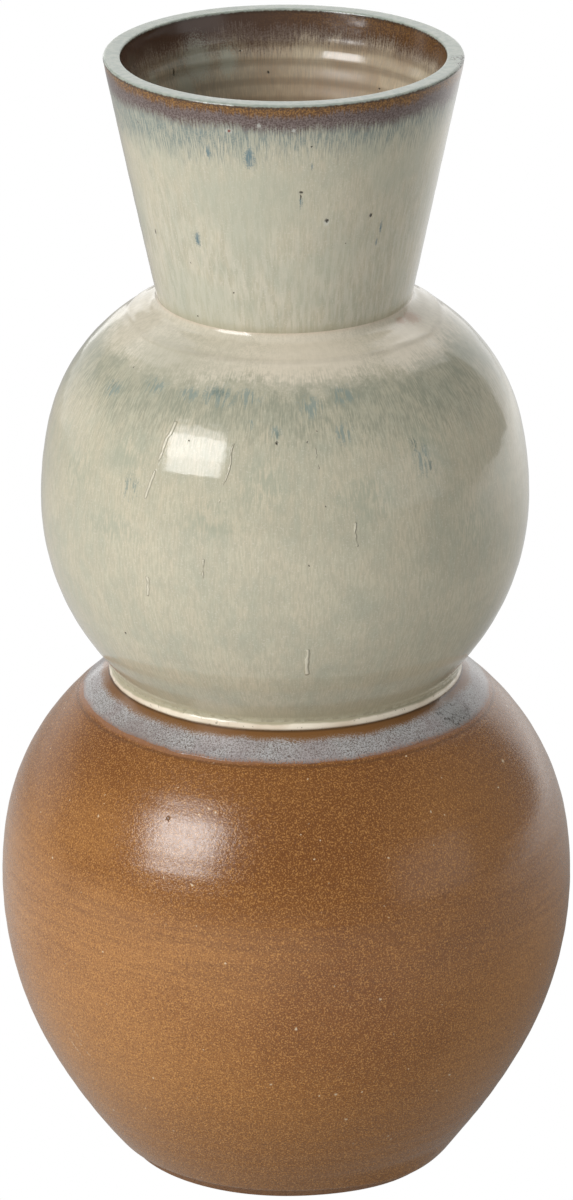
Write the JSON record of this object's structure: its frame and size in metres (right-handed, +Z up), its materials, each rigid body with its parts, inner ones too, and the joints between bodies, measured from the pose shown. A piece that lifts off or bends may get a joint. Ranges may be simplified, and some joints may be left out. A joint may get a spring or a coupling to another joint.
{
  "type": "double gourd vase",
  "caption": "Double gourd stoneware vase: a large round body, a smaller round bulb on it and a flared neck, with a flat turned foot.",
  "frame": {"origin": "centre of the foot's resting plane, on the vase's axis", "axes": "+Z up along the axis of rotation, out of the mouth; +X and +Y are level and equivalent, because the vase is round"},
  "size_m": [0.2256, 0.2256, 0.45],
  "materials": {
    "stoneware": "bare fired iron-bearing stoneware, matt and slightly gritty",
    "fired_slip": "fine fired slip, matt",
    "tan_iron_glaze": "satin tan iron glaze with fine light speckle and orange-brown blotches",
    "lavender_band_glaze": "glossy lavender and blue-grey streaked band with an amber-brown upper edge",
    "bead_glaze": "glossy pale cream glaze, thin over the coil",
    "bulb_celadon_glaze": "glossy cream celadon with a green-blue mottled band under a pinkish-cream shoulder",
    "neck_celadon_glaze": "glossy cream celadon with fine vertical streaks, blue streaks and pinholes",
    "rim_glaze": "glossy pale blue-grey on the lip, amber-brown iron edge below it",
    "liner_glaze": "glossy grey-beige liner, brown next to the lip"
  },
  "bodies": {
    "root": {"lower_bulb": "stoneware", "upper_bulb": "stoneware", "neck": "stoneware", "waist_bead": "stoneware", "waist_slip_seam": "fired_slip", "neck_slip_seam": "fired_slip", "lower_bulb_glaze": "tan_iron_glaze", "shoulder_glaze_band": "lavender_band_glaze", "waist_bead_glaze": "bead_glaze", "upper_bulb_glaze": "bulb_celadon_glaze", "neck_glaze": "neck_celadon_glaze", "rim_glaze": "rim_glaze", "neck_liner_glaze": "liner_glaze", "upper_bulb_liner_glaze": "liner_glaze", "lower_bulb_liner_glaze": "liner_glaze"}
  },
  "joints": []
}
